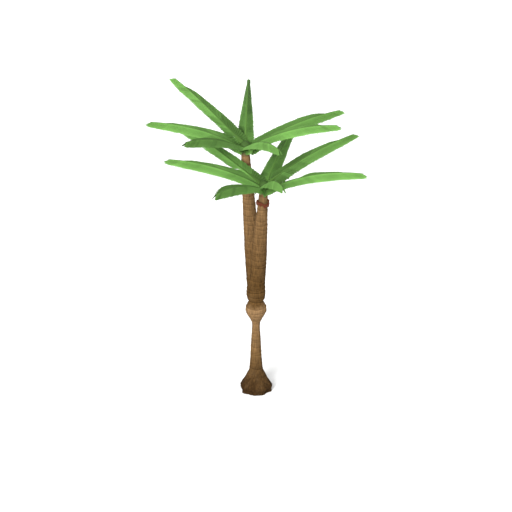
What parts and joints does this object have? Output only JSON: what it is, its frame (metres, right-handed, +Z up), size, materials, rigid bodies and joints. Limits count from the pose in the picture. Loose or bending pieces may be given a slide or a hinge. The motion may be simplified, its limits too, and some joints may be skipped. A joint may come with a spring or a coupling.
{
  "type": "doum palm",
  "caption": "Forked doum palm rooted in the ground: flared foot, swollen waist, leaning stems, crowns of long arching fronds, and a ring of brown fruit under the lower crown.",
  "frame": {"origin": "middle of the flat cut under the trunk, at ground level", "axes": "+Z up; -Y the side that the picture shows, with the lower crown towards it; +X to the picture's right"},
  "size_m": [6.6278, 6.9213, 9.3112],
  "materials": {
    "bark": "rough, ringed and fissured",
    "sheath": "matt, fibrous",
    "leaf": "satin leaf",
    "fruit": "smooth, half gloss"
  },
  "bodies": {
    "root": {"trunk": "bark", "stem_left": "bark", "stem_right": "bark", "heart_left": "sheath", "heart_right": "sheath", "frond_left_east": "leaf", "frond_left_back": "leaf", "frond_left_back_west": "leaf", "frond_left_west": "leaf", "frond_left_front_west": "leaf", "frond_left_front": "leaf", "frond_left_front_east": "leaf", "frond_right_east": "leaf", "frond_right_back": "leaf", "frond_right_back_west": "leaf", "frond_right_west": "leaf", "frond_right_front_west": "leaf", "frond_right_front": "leaf", "frond_right_front_east": "leaf", "fruit_bunch_1": "fruit", "fruit_bunch_2": "fruit", "fruit_bunch_3": "fruit", "fruit_bunch_4": "fruit", "fruit_bunch_5": "fruit", "fruit_bunch_6": "fruit", "fruit_bunch_7": "fruit", "fruit_bunch_8": "fruit"}
  },
  "joints": []
}
